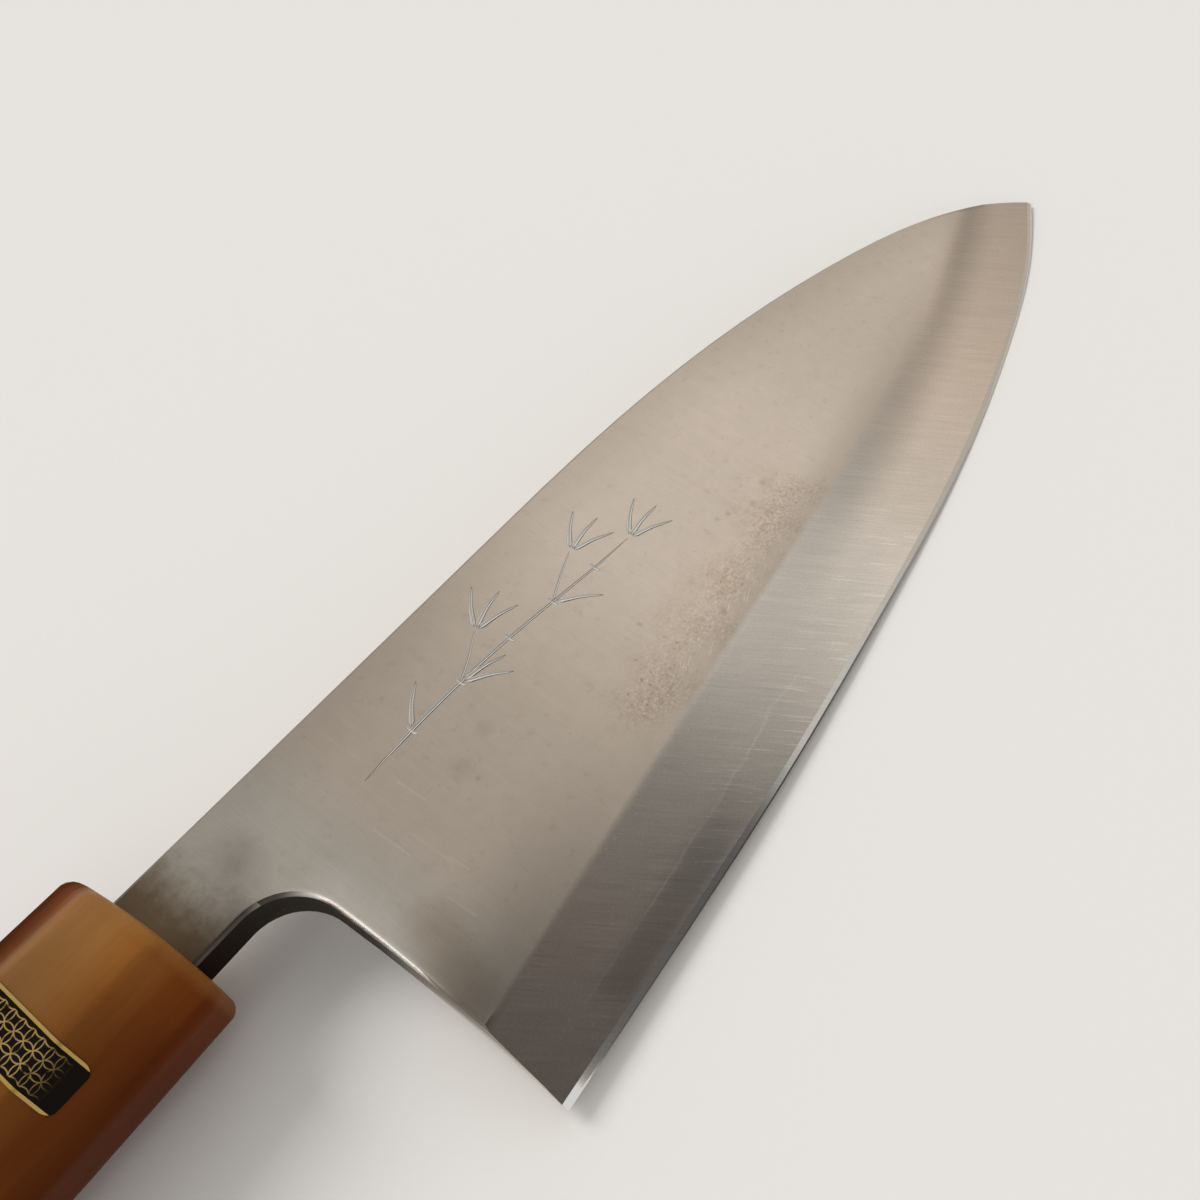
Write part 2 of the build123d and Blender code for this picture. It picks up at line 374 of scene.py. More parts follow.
# Brown bloom above the ridge line, along a stretch, with an uneven outline, mottles and grit
BLOOM_RUN = ((44.0, 22.0), (84.0, 26.0))
BLOOM_SPAN = (8.5, -3.0)
BLOOM_DRIFT = dict(detail=4.0, scale=0.16)
BLOOM_SWAY = 16.0
PATINA = (0.82, 0.765, 0.715, 1)
MOTTLE = dict(limits=(0.36, 0.64), detail=6.0, roughness=0.7, scale=0.7)
MOTTLE_SHARE = 0.75
GRIT = dict(detail=2.0, scale=2.4)
GRIT_RISE = (11.0, 3.0)
GRIT_FAR = 0.3

# Blotches and specks on the whole face, and single stains: x, y, radius, depth of tone
BLOTCH = dict(limits=(0.58, 0.72), detail=3.0, roughness=0.6, scale=0.5)
BLOTCH_SHARE = 0.35
SPOT = (0.62, 0.56, 0.52, 1)
SPECK = dict(limits=(0.66, 0.76), detail=2.0, scale=1.1)
SPECK_IN_BLOOM = 0.7
SPECK_ELSEWHERE = 0.25
STAIN_DRIFT = dict(detail=3.0, scale=0.9)
STAIN_OUTER = 1.6
STAIN_INNER = 0.4
STAINS = (
    (22.0, 34.2, 2.2, 0.3), (22.3, 31.7, 0.6, 0.55), (28.0, 35.5, 1.8, 0.25), (52.5, 29.5, 0.6, 0.7),
    (61.3, 21.8, 0.8, 0.7), (64.9, 22.5, 0.5, 0.6), (73.5, 31.3, 0.6, 0.4), (75.3, 30.6, 0.6, 0.6),
    (79.1, 29.0, 0.8, 0.4), (83.1, 29.8, 0.8, 0.5),
)

# Bright curled scratches between the bloom and the ridge
CURL = dict(detail=1.0, scale=0.2)
CURL_LINES = (0.93, 0.36)
CURL_HAIRLINES = dict(spacing=0.22, length=3.2, detail=1.0)
CURL_LIMITS = (0.60, 0.72)
CURL_RISE = ((6.0, 2.5), (0.2, 1.2))
CURL_RUN = ((44.0, 52.0), (84.0, 70.0))
CURL_SHARE = 0.8
CURL_TINT = (1.28, 1.26, 1.20, 1)


def bloom(blade, colour):
    """Brown bloom, faint stains, and bright scratches by the ridge."""
    nodes = blade.nodes
    away = segment_distance(nodes, blade.flat, *BLOOM_RUN)
    away = nodes.linear(nodes.minus(blade.noise(**BLOOM_DRIFT), 0.5), BLOOM_SWAY, away)
    zone = nodes.smooth(away, BLOOM_SPAN)
    mottle = nodes.linear(blade.patches(**MOTTLE), MOTTLE_SHARE, 1 - MOTTLE_SHARE)
    colour = nodes.tint(colour, nodes.times(zone, mottle), PATINA)
    strength = nodes.times(zone, nodes.smooth(blade.above, GRIT_RISE, GRIT_FAR, 1.0))
    grit = nodes.minus(blade.noise(**GRIT), 0.5)
    colour = nodes.shade(colour, nodes.linear(grit, strength, 1.0))
    colour = nodes.tint(colour, nodes.times(blade.patches(**BLOTCH), BLOTCH_SHARE), PATINA)
    colour = nodes.tint(colour, dots(blade, zone), SPOT)
    return curled_scratches(blade, colour)


def dots(blade, zone):
    """Mask of the specks and of the single stains."""
    nodes = blade.nodes
    result = nodes.times(blade.patches(**SPECK), nodes.linear(zone, SPECK_IN_BLOOM, SPECK_ELSEWHERE))
    outline = blade.noise(**STAIN_DRIFT)
    for x, y, radius, depth in STAINS:
        away = nodes.linear(outline, radius, nodes.distance(blade.flat, (x, y, 0.0)))
        stain = nodes.smooth(away, (STAIN_OUTER * radius, STAIN_INNER * radius))
        result = nodes.most(result, nodes.times(stain, depth))
    return result


def curled_scratches(blade, colour):
    nodes = blade.nodes
    x, y, _ = nodes.split(nodes.vector("ADD", blade.flat, blade.noise(**CURL)))
    lines = line_place(nodes, x, y, CURL_LINES)
    marks = nodes.smooth(hairlines(nodes, lines, **CURL_HAIRLINES), CURL_LIMITS)
    near = nodes.times(nodes.within(blade.above, *CURL_RISE), blade.along(*CURL_RUN))
    return nodes.tint(colour, nodes.times(marks, near, CURL_SHARE), CURL_TINT)


# Silver patch and brown shade by the back of the heel, each along a stretch, with an uneven outline
HEEL_DRIFT = dict(detail=3.0, scale=0.35)
HEEL_SWAY = 2.4
SILVER_RUN = ((0.5, 35.0), (0.0, 24.0))
SILVER_SPAN = (5.5, 0.0)
SILVER = (1.16, 1.19, 1.23, 1)
BROWN_RUN = ((5.0, 23.0), (2.0, 15.5))
BROWN_SPAN = (6.0, 0.5)
BROWN_START = (-1.0, 0.6)
BROWN = (0.80, 0.745, 0.705, 1)

# Pale scratches across the face: x, start and end in y
SCRATCHES = (
    (15.9, 39.0, 34.9), (12.6, 28.0, 24.9), (8.9, 24.9, 20.8), (12.0, 33.5, 27.0), (9.6, 37.0, 31.5),
)
SCRATCH_SLANT = 0.3
SCRATCH_SPAN = (0.24, 0.04)
SCRATCH_SHARE = 0.17


def heel_marks(blade, colour):
    """Silver patch and brown shade by the back of the heel, and pale scratches."""
    nodes = blade.nodes
    sway = nodes.linear(blade.noise(**HEEL_DRIFT), HEEL_SWAY, -HEEL_SWAY / 2)
    silver = nodes.plus(segment_distance(nodes, blade.flat, *SILVER_RUN), sway)
    colour = nodes.tint(colour, nodes.smooth(silver, SILVER_SPAN), SILVER)
    brown = nodes.plus(segment_distance(nodes, blade.flat, *BROWN_RUN), sway)
    brown = nodes.times(nodes.smooth(brown, BROWN_SPAN), blade.along(BROWN_START))
    colour = nodes.tint(colour, brown, BROWN)
    marks = 0.0
    for x, start, end in SCRATCHES:
        away = segment_distance(nodes, blade.flat, (x, start), (x + SCRATCH_SLANT, end))
        marks = nodes.most(marks, nodes.smooth(away, SCRATCH_SPAN))
    return nodes.tint(colour, nodes.times(marks, SCRATCH_SHARE), PALE)


# Upper face: its metal, and how bright it is, as half the tone at each share of the length: the polish and
# painted reflection of the light round it
UPPER_METAL = (0.63, 0.54, 0.45, 1)
UPPER_TONE = (
    (0, 0.5), (0.18, 0.5), (0.27, 0.56), (0.36, 0.61), (0.45, 0.585), (0.54, 0.58), (0.63, 0.53),
    (0.72, 0.5), (0.9, 0.515), (1, 0.5),
)
COOL_HEEL = (0.97, 1.04, 1.09, 1)
COOL_HEEL_SPAN = (14.0, 2.0)

# Painted shade in stretches above the ridge, where the face mirrors less light: depth of tone, span over
# the ridge, spans along the blade
RIDGE_SHADES = (
    (0.50, (15.0, -2.0), ((46.0, 4.0), (-4.0, 1.0))),
    (0.17, (11.0, 2.0), ((16.0, 2.0), (-4.0, 1.0))),
    (0.26, (7.0, -1.0), ((20.0, 60.0), (150.0, 95.0))),
)
# Painted shade towards the spine, where the face mirrors less light
SPINE_SHADE = 0.17
SPINE_SHADE_SPAN = (11.0, -2.0)

# Painted shadow at the neck, and brown grime next to the ferrule, partly its painted shadow and
# reflection, greyer low on it
SHADOW_PLACE = (-3.5, 47.0, 0.0)
SHADOW_DRIFT = dict(detail=4.0, scale=0.5)
SHADOW_SWAY = 3.0
SHADOW_SPAN = (7.5, 1.0)
SHADOW_DEPTH = 0.30
GRIME_AND_SHADE_DRIFT = dict(detail=5.0, roughness=0.65, scale=0.55)
GRIME_AND_SHADE_SWAY = 5.0
GRIME_AND_SHADE_SPAN = (-2.0, -11.0)
NECK_STAIN_AND_SHADE = (0.31, 0.235, 0.165, 1)
LOW_GRIME_AND_SHADE_HEIGHTS = (49.0, 42.0)
LOW_GRIME_AND_SHADE_SPAN = (1.0, -5.0)
LOW_GRIME_AND_SHADE_SHARE = 0.7
LOW_GRIME_AND_SHADE = (0.45, 0.44, 0.44, 1)


def upper_look(blade):
    """Colour of the flat upper face and the neck, with painted light and shade."""
    nodes = blade.nodes
    spine = nodes.times(nodes.curve(blade.share, SPINE_CURVE), HEEL_HEIGHT)
    colour = nodes.shade(UPPER_METAL, nodes.times(nodes.curve(blade.share, UPPER_TONE), 2.0))
    colour = nodes.tint(colour, blade.along(COOL_HEEL_SPAN), COOL_HEEL)
    for depth, rise, stretch in RIDGE_SHADES:
        reach = nodes.times(nodes.smooth(blade.above, rise), blade.along(*stretch))
        colour = nodes.dim(colour, reach, depth)
    colour = nodes.dim(colour, nodes.smooth(nodes.minus(spine, blade.y), SPINE_SHADE_SPAN), SPINE_SHADE)
    colour = neck_marks(blade, colour)
    colour = heel_marks(blade, colour)
    return bloom(blade, colour)


def neck_marks(blade, colour):
    nodes = blade.nodes
    shadow = nodes.distance(blade.flat, SHADOW_PLACE)
    shadow = nodes.linear(blade.noise(**SHADOW_DRIFT), SHADOW_SWAY, shadow)
    colour = nodes.dim(colour, nodes.smooth(shadow, SHADOW_SPAN), SHADOW_DEPTH)
    # Brown grime by the ferrule, partly painted shadow and reflection of the ferrule
    grime_and_shade = nodes.linear(blade.noise(**GRIME_AND_SHADE_DRIFT), GRIME_AND_SHADE_SWAY, blade.x)
    colour = nodes.tint(colour, nodes.smooth(grime_and_shade, GRIME_AND_SHADE_SPAN), NECK_STAIN_AND_SHADE)
    low = nodes.times(nodes.smooth(blade.y, LOW_GRIME_AND_SHADE_HEIGHTS), nodes.smooth(grime_and_shade, LOW_GRIME_AND_SHADE_SPAN))
    return nodes.tint(colour, nodes.times(low, LOW_GRIME_AND_SHADE_SHARE), LOW_GRIME_AND_SHADE)


# Ground bevel: its metal, its tone like that of the upper face, partly painted reflection of the light
# round it, and its tints along the blade
BEVEL_METAL = (0.67, 0.61, 0.54, 1)
BEVEL_TONE = (
    (0, 0.33), (0.06, 0.355), (0.12, 0.38), (0.21, 0.37), (0.3, 0.47), (0.39, 0.54), (0.48, 0.57),
    (0.57, 0.53), (0.65, 0.5), (0.74, 0.46), (0.83, 0.41), (0.93, 0.36), (1, 0.33),
)
WARM_TIP = (1.05, 0.94, 0.85, 1)
WARM_TIP_SPAN = (70.0, 130.0)
WARM_HEEL = (1.05, 0.97, 0.955, 1)
WARM_HEEL_SPAN = (36.0, 12.0)

# Grain of the bevel: fine hairlines, which are calmer at the heel, wide ones and small clouds
FINE = dict(spacing=0.13, length=8.0)
FINE_SPREAD = 0.21
CALM_SPAN = (8.0, 45.0)
CALM_LEAST = 0.35
WIDE = dict(spacing=1.1, length=30.0)
WIDE_SPREAD = 0.07
CLOUDS = dict(detail=3.0, scale=3.0)
CLOUDS_SPREAD = 0.13
BEVEL_ROUGH = (0.10, 0.27)

# Bright glints in the grinding lines, and pale nicks
GLINT = dict(spacing=0.2, length=7.0, detail=1.0)
GLINT_LIMITS = (0.63, 0.74)
GLINT_RUN = ((12.0, 40.0), (110.0, 75.0))
GLINT_BELOW = (0.1, 0.8)
GLINT_SHARE = 0.75
NICK = dict(limits=(0.66, 0.74), detail=2.0, scale=1.9)
NICK_SPAN = (70.0, 30.0)
NICK_SHARE = 0.4

# Grey band of painted shade under the ridge, where the rounded bevel turns from the light; it fades at the
# ridge towards the tip
BAND_SHADE = (0.66, 0.675, 0.69, 1)
BAND_BELOW = (0.55, 0.08)
BAND_SPAN = (55.0, 95.0)
BAND_END = (112.0, 138.0)
BAND_END_BELOW = (0.22, -0.02)
BAND_END_SHARE = 0.9

# Painted light and shade on stretches of the bevel, brighter and darker with the light they mirror: depth
# of tone, spans down it, spans along the blade
BEVEL_SHADES = (
    (-0.12, ((0.5, 0.95),), ((48.0, 66.0), (98.0, 84.0))),
    (0.24, ((0.5, 0.72), (0.96, 0.85)), ((9.0, 16.0), (44.0, 32.0))),
)

# Pale line of the forge weld, which wavers and breaks off
WELD_WAVER = dict(detail=3.0, scale=0.14)
WELD_SWAY = 0.8
WELD_WIDTH = (0.10, 0.0)
WELD_RUN = ((6.0, 14.0), (80.0, 35.0))
WELD_BREAKS = dict(limits=(0.3, 0.6), detail=2.0, scale=0.11)
WELD_DEPTH = -0.14


def bevel_look(blade):
    """Colour with painted light and shade, hairlines and roughness of the ground bevels, the same in the
    steel and in the iron.
    """
    nodes = blade.nodes
    lines = line_place(nodes, blade.x, blade.y, BEVEL_LINES)
    fine = hairlines(nodes, lines, **FINE)
    colour = nodes.shade(BEVEL_METAL, nodes.times(nodes.curve(blade.share, BEVEL_TONE), 2.0))
    colour = nodes.tint(colour, blade.along(WARM_TIP_SPAN), WARM_TIP)
    colour = nodes.tint(colour, blade.along(WARM_HEEL_SPAN), WARM_HEEL)
    calm = nodes.linear(nodes.minus(fine, 0.5), nodes.smooth(blade.x, CALM_SPAN, CALM_LEAST, 1.0), 0.5)
    colour = nodes.grain(colour, calm, FINE_SPREAD)
    colour = nodes.grain(colour, hairlines(nodes, lines, **WIDE), WIDE_SPREAD)
    colour = nodes.grain(colour, blade.noise(**CLOUDS), CLOUDS_SPREAD)
    glint = nodes.smooth(hairlines(nodes, lines, **GLINT), GLINT_LIMITS)
    reach = nodes.times(blade.along(*GLINT_RUN), nodes.smooth(blade.below, GLINT_BELOW))
    colour = nodes.tint(colour, nodes.times(glint, reach, GLINT_SHARE), PALE)
    colour = nodes.tint(colour, painted_ridge_shade(blade), BAND_SHADE)
    for depth, below, stretch in BEVEL_SHADES:
        reach = nodes.times(nodes.within(blade.below, *below), blade.along(*stretch))
        colour = nodes.dim(colour, reach, depth)
    colour = nodes.dim(colour, weld_line(blade), WELD_DEPTH)
    nick = nodes.times(blade.patches(**NICK), blade.along(NICK_SPAN), NICK_SHARE)
    colour = nodes.tint(colour, nick, PALE)
    colour = nodes.mix(blade.small, colour, small_bevel_look(blade, fine))
    return colour, fine, nodes.linear(fine, *BEVEL_ROUGH)


def painted_ridge_shade(blade):
    # Painted shade under the ridge
    nodes = blade.nodes
    band = nodes.times(nodes.smooth(blade.below, BAND_BELOW), blade.along(BAND_SPAN))
    end = nodes.times(blade.along(BAND_END), nodes.smooth(blade.below, BAND_END_BELOW), BAND_END_SHARE)
    return nodes.times(band, nodes.minus(1.0, end))


def weld_line(blade):
    """Mask of the weld line, where the bevel cuts the top of the steel's wedge."""
    nodes = blade.nodes
    behind = nodes.minus(blade.x, STEEL_WEDGE_START)
    top = nodes.linear(behind, -STEEL_WEDGE_SLOPE, STEEL_HEEL_THICKNESS)
    waver = nodes.linear(blade.noise(**WELD_WAVER), WELD_SWAY, nodes.minus(blade.z, WELD_SWAY / 2))
    weld = nodes.smooth(nodes.size(nodes.minus(top, waver)), WELD_WIDTH)
    return nodes.times(weld, blade.along(*WELD_RUN), blade.patches(**WELD_BREAKS))


# Small bevel: its metal, and its tones as above at its shoulder and at the edge itself, which paint a
# highlight at the heel corner and a dark line of shade along the edge
BURNISHED_HIGHLIGHT = (0.95, 0.91, 0.86, 1)
WARM_EDGE = (1.04, 0.97, 0.88, 1)
WARM_EDGE_SPAN = (60.0, 120.0)
SHOULDER_TONE = (
    (0, 0.8), (0.015, 0.55), (0.032, 0.16), (0.06, 0.11), (0.12, 0.10), (0.22, 0.11), (0.28, 0.3),
    (0.33, 0.45), (0.42, 0.41), (0.54, 0.33), (0.65, 0.29), (1, 0.27),
)
EDGE_TONE = (
    (0, 0.95), (0.018, 0.8), (0.036, 0.20), (0.06, 0.09), (0.12, 0.07), (0.25, 0.05), (0.33, 0.06),
    (0.42, 0.10), (0.54, 0.22), (0.65, 0.27), (0.77, 0.33), (1, 0.33),
)
SHOULDER_HEIGHTS = (0.20, 0.28)
EDGE_SPREAD = 0.22


def small_bevel_look(blade, fine):
    nodes = blade.nodes
    # Burnished metal with a painted highlight at the heel and painted shade along the edge
    edge = nodes.curve(blade.share, EDGE_TONE)
    shoulder = nodes.curve(blade.share, SHOULDER_TONE)
    level = nodes.mix_values(nodes.smooth(blade.z, SHOULDER_HEIGHTS), edge, shoulder)
    colour = nodes.tint(BURNISHED_HIGHLIGHT, blade.along(WARM_EDGE_SPAN), WARM_EDGE)
    colour = nodes.shade(colour, nodes.times(level, 2.0))
    return nodes.grain(colour, fine, EDGE_SPREAD)


# Satin of the upper face: fine and wide grinding lines, two noises, and bright scratches
SATIN = dict(spacing=0.16, length=9.0)
SATIN_SPREAD = 0.07
SATIN_WIDE = dict(spacing=0.9, length=30.0)
SATIN_WIDE_SPREAD = 0.03
SATIN_NOISES = (dict(detail=2.0, scale=4.0), dict(detail=3.0, scale=0.4))
SATIN_NOISE_SPREAD = 0.05
SCRAPE = dict(spacing=0.2, length=6.0, detail=1.0)
SCRAPE_LIMITS = (0.68, 0.76)
SCRAPE_SHARE = 0.16
SATIN_ROUGH = (0.08, 0.31)

# Eased edges of the spine, the neck and the back with painted shade, a painted highlight along part of the
# back's edge, and the unpolished walls, darkened with painted shade
SHADED_SPINE_EDGE = (0.5, 0.47, 0.43, 1)
SHADED_NECK_EDGE = (0.10, 0.083, 0.068, 1)
SHADED_NECK_EDGE_SPAN = (-3.0, -7.0)
SHADED_BACK_EDGE = (0.07, 0.06, 0.05, 1)
HIGHLIGHT_EDGE_HEIGHTS = ((13.0, 23.0), (40.5, 35.5))
BACK_POLISH = -0.12
SHADED_DULL_WALL = (0.009, 0.006, 0.0045, 1)
DULL_ROUGHNESS = 0.25
DULL_SPECULAR = 0.02
GRIND_DEPTH = 0.002

# Half the width over which the finish changes at the ridge, in centimetres, along the blade. Near the
# heel the change lies lower, by a share of that width.
RIDGE_BLUR = ((0, 0.08), (0.2, 0.08), (0.4, 0.06), (0.6, 0.09), (0.8, 0.18), (1, 0.26))
CENTIMETRE = 10.0
RIDGE_LOWER = 0.5
RIDGE_LOWER_SPAN = (60.0, 25.0)

# Where the ridge and the back's edge are softly rounded, and their radii
RIDGE_RADIUS = 1.8
RIDGE_BELOW = (0.42, 0.2)
RIDGE_RISE = (6.0, 3.0)
RIDGE_START = (0.6, 3.0)
BACK_RADIUS = 1.1
BACK_UPWARD = 0.55
BACK_SPAN = (2.4, 1.2)
BACK_HEIGHTS = ((52.0, 46.0), (14.0, 20.0))


def satin(blade, colour):
    """Colour with the grinding lines, and the fine lines by themselves."""
    nodes = blade.nodes
    up_wall = nodes.join(nodes.plus(blade.z, blade.y), blade.x, 0.0)
    lines = nodes.mix_vectors(blade.wall, line_place(nodes, blade.x, blade.y, ACROSS), up_wall)
    fine = hairlines(nodes, lines, **SATIN)
    colour = nodes.grain(colour, fine, SATIN_SPREAD)
    colour = nodes.grain(colour, hairlines(nodes, lines, **SATIN_WIDE), SATIN_WIDE_SPREAD)
    for settings in SATIN_NOISES:
        colour = nodes.grain(colour, blade.noise(**settings), SATIN_NOISE_SPREAD)
    scratch = nodes.smooth(hairlines(nodes, lines, **SCRAPE), SCRAPE_LIMITS)
    return nodes.tint(colour, nodes.times(scratch, SCRAPE_SHARE), PALE), fine


def eased_edges(blade, colour):
    """Colour with painted shade and a painted highlight on the eased edges, and painted shade on the
    unpolished walls.
    """
    nodes = blade.nodes
    # Painted shade on the eased edges of the spine and the neck
    colour = nodes.tint(colour, blade.spine_side, SHADED_SPINE_EDGE)
    colour = nodes.mix(nodes.times(blade.neck_side, blade.along(SHADED_NECK_EDGE_SPAN)), colour, SHADED_NECK_EDGE)
    # Painted highlight along part of the back's edge, painted shade on the rest of it
    highlight = nodes.within(blade.y, *HIGHLIGHT_EDGE_HEIGHTS)
    colour = nodes.mix(blade.back_side, colour, nodes.mix(highlight, SHADED_BACK_EDGE, BURNISHED_HIGHLIGHT))
    # Unpolished walls, near black: dull metal and painted shade
    return nodes.mix(blade.dull_shaded_wall, colour, SHADED_DULL_WALL)


def under_ridge(blade):
    """Share of the bevel's finish: one below the ridge, nothing above."""
    nodes = blade.nodes
    half = nodes.times(nodes.curve(blade.share, RIDGE_BLUR), CENTIMETRE)
    lower = nodes.smooth(blade.x, RIDGE_LOWER_SPAN, 0.0, RIDGE_LOWER)
    reach = nodes.plus(nodes.over(blade.above, half), lower)
    return nodes.times(nodes.smooth(reach, (1.0, -1.0)), blade.upward, blade.ahead)


def soft_normal(blade):
    """Normal of the iron, with the ridge and the back's edge softly rounded."""
    nodes = blade.nodes
    ridge = nodes.times(blade.upward, nodes.smooth(blade.below, RIDGE_BELOW))
    ridge = nodes.times(ridge, nodes.smooth(blade.above, RIDGE_RISE), blade.along(RIDGE_START))
    back = nodes.times(nodes.more(blade.normal_z, BACK_UPWARD), blade.along(BACK_SPAN))
    back = nodes.times(back, nodes.within(blade.y, *BACK_HEIGHTS))
    radius = nodes.linear(back, (BACK_RADIUS - RIDGE_RADIUS) * MM, RIDGE_RADIUS * MM)
    return nodes.mix_vectors(nodes.most(ridge, back), nodes.true_normal(), nodes.rounded(radius))


def iron_material():
    """Soft iron: satin upper face ground across, hairlined bevel, dull walls with painted shade, bloom,
    and a soft ridge.
    """
    material, nodes, shader = new_material("blade_iron_satin")
    blade = Blade(nodes)
    colour, fine = satin(blade, upper_look(blade))
    bevel_colour, bevel_fine, bevel_rough = bevel_look(blade)
    colour = nodes.mix(under_ridge(blade), eased_edges(blade, colour), bevel_colour)
    nodes.feed(shader.inputs["Base Color"], colour)
    nodes.feed(shader.inputs["Metallic"], nodes.minus(1.0, blade.dull_shaded_wall))
    shader.inputs["Specular IOR Level"].default_value = DULL_SPECULAR
    rough = nodes.linear(fine, *SATIN_ROUGH)
    rough = nodes.mix_values(blade.bevel, rough, bevel_rough)
    rough = nodes.linear(blade.dull_shaded_wall, DULL_ROUGHNESS, rough)
    nodes.feed(shader.inputs["Roughness"], nodes.linear(blade.back_side, BACK_POLISH, rough))
    grain = nodes.mix_values(blade.bevel, fine, bevel_fine)
    nodes.feed(shader.inputs["Normal"], nodes.bump(grain, GRIND_DEPTH, soft_normal(blade)))
    return material


# Flat side: its hollow, which begins at these heights, and its grinding lines
HOLLOW_METAL = (0.60, 0.57, 0.53, 1)
HOLLOW_HEIGHTS = (0.004, 0.03)
BACK_LINES = dict(spacing=0.14, length=8.0)
BACK_SPREAD = 0.18
BACK_WIDE = dict(spacing=1.1, length=26.0)
BACK_WIDE_SPREAD = 0.09


def steel_material():
    """Hard steel: the same ground bevel, and the hollow back with its flat rim."""
    material, nodes, shader = new_material("blade_steel_ground")
    blade = Blade(nodes)
    bevel_colour, fine, rough = bevel_look(blade)
    hollow = nodes.times(blade.under, nodes.smooth(blade.z, HOLLOW_HEIGHTS))
    lines = nodes.mix_vectors(hollow, nodes.join(blade.y, blade.x, 0.0), blade.flat)
    back_fine = hairlines(nodes, lines, **BACK_LINES)
    back = nodes.grain(nodes.mix(hollow, BEVEL_METAL, HOLLOW_METAL), back_fine, BACK_SPREAD)
    back = nodes.grain(back, hairlines(nodes, lines, **BACK_WIDE), BACK_WIDE_SPREAD)
    colour = nodes.mix(blade.bevel, back, bevel_colour)
    # Unpolished walls, near black: dull metal and painted shade
    nodes.feed(shader.inputs["Base Color"], nodes.mix(blade.dull_shaded_wall, colour, SHADED_DULL_WALL))
    nodes.feed(shader.inputs["Metallic"], nodes.minus(1.0, blade.dull_shaded_wall))
    shader.inputs["Specular IOR Level"].default_value = DULL_SPECULAR
    nodes.feed(shader.inputs["Roughness"], nodes.linear(blade.dull_shaded_wall, DULL_ROUGHNESS, rough))
    grain = nodes.mix_values(blade.bevel, back_fine, fine)
    nodes.feed(shader.inputs["Normal"], nodes.bump(grain, GRIND_DEPTH))
    return material


# Amber across the upper side of the ferrule, from the edge side to the spine side of the knife, with
# painted shade towards the edge side, which the light doesn't reach, and darker again on the spine side's
# chamfer
AMBER_AND_SHADE_RAMP = (
    (0.0, (0.12, 0.025, 0.004, 1)), (0.15, (0.20, 0.055, 0.010, 1)), (0.3, (0.27, 0.10, 0.022, 1)),
    (0.5, (0.30, 0.138, 0.040, 1)), (0.70, (0.28, 0.135, 0.047, 1)), (0.82, (0.125, 0.040, 0.013, 1)),
    (0.95, (0.066, 0.016, 0.005, 1)),
)
AMBER_HALF = 12.0

# Streaks and threads in the amber, its rim paler with a painted highlight, and its deeper tone away from
# the front
STREAK = dict(along=0.05, across=0.3, detail=4.0, distortion=0.6)
STREAK_SWAY = 5.0
THREAD = dict(along=0.12, across=1.6, detail=3.0)
THREAD_SPREAD = 0.12
RIM_HIGHLIGHT_SPAN = (FERRULE_FRONT - 2.2, FERRULE_FRONT - 0.4)
RIM_HIGHLIGHT_SHARE = 0.3
RIM_HIGHLIGHT_AMBER = (0.40, 0.19, 0.05, 1)
DEEPER_SPAN = (FERRULE_FRONT, FERRULE_FRONT - 14.0)
DEEPER = 0.28

# Surface of the amber: its gloss fades towards the spine side
GLOSS_SPAN = (8.0, 4.0)
GLOSS = 0.03
GLOSS_TINT = (1.0, 0.8, 0.55, 1)
AMBER_ROUGHNESS = 0.36
AMBER_IOR = 1.54
AMBER_CLEARNESS = 0.2
AMBER_COLOUR_REACH = (1.0, 0.45, 0.15)
AMBER_REACH = 1.6
AMBER_COAT = 0.02
AMBER_COAT_ROUGHNESS = 0.3
AMBER_GRAIN = dict(along=0.4, across=1.0, detail=3.0, scale=1.2)
AMBER_GRAIN_DEPTH = 0.02
AMBER_RADIUS = 2.4


def ferrule_material():
    """Amber ferrule: translucent, softly polished, with streaks along the handle that deepen in tone,
    painted shade towards the edge side and a painted highlight on the front rim.
    """
    material, nodes, shader = new_material("ferrule_amber")
    place = nodes.knife_place()
    x, y, _ = nodes.split(place)
    aside = nodes.minus(y, HANDLE_MIDDLE)
    streak = nodes.minus(nodes.drawn_noise(place, **STREAK), 0.5)
    drift = nodes.plus(nodes.linear(streak, STREAK_SWAY, aside), AMBER_HALF)
    # Amber with painted shade towards the edge side
    colour = nodes.ramp(nodes.over(drift, 2 * AMBER_HALF), AMBER_AND_SHADE_RAMP)
    colour = nodes.grain(colour, nodes.drawn_noise(place, **THREAD), THREAD_SPREAD)
    # Painted highlight along the front rim
    colour = nodes.mix(nodes.times(nodes.smooth(x, RIM_HIGHLIGHT_SPAN), RIM_HIGHLIGHT_SHARE), colour, RIM_HIGHLIGHT_AMBER)
    colour = nodes.dim(colour, nodes.smooth(x, DEEPER_SPAN), DEEPER)
    nodes.feed(shader.inputs["Base Color"], colour)
    nodes.feed(shader.inputs["Specular IOR Level"], nodes.smooth(aside, GLOSS_SPAN, 0.0, GLOSS))
    shader.inputs["Specular Tint"].default_value = GLOSS_TINT
    shader.inputs["Roughness"].default_value = AMBER_ROUGHNESS
    shader.inputs["IOR"].default_value = AMBER_IOR
    shader.inputs["Subsurface Weight"].default_value = AMBER_CLEARNESS
    shader.inputs["Subsurface Radius"].default_value = AMBER_COLOUR_REACH
    shader.inputs["Subsurface Scale"].default_value = AMBER_REACH * MM
    shader.inputs["Coat Weight"].default_value = AMBER_COAT
    shader.inputs["Coat Roughness"].default_value = AMBER_COAT_ROUGHNESS
    grain = nodes.drawn_noise(place, **AMBER_GRAIN)
    normal = nodes.bump(grain, AMBER_GRAIN_DEPTH, nodes.rounded(AMBER_RADIUS * MM))
    nodes.feed(shader.inputs["Normal"], normal)
    return material


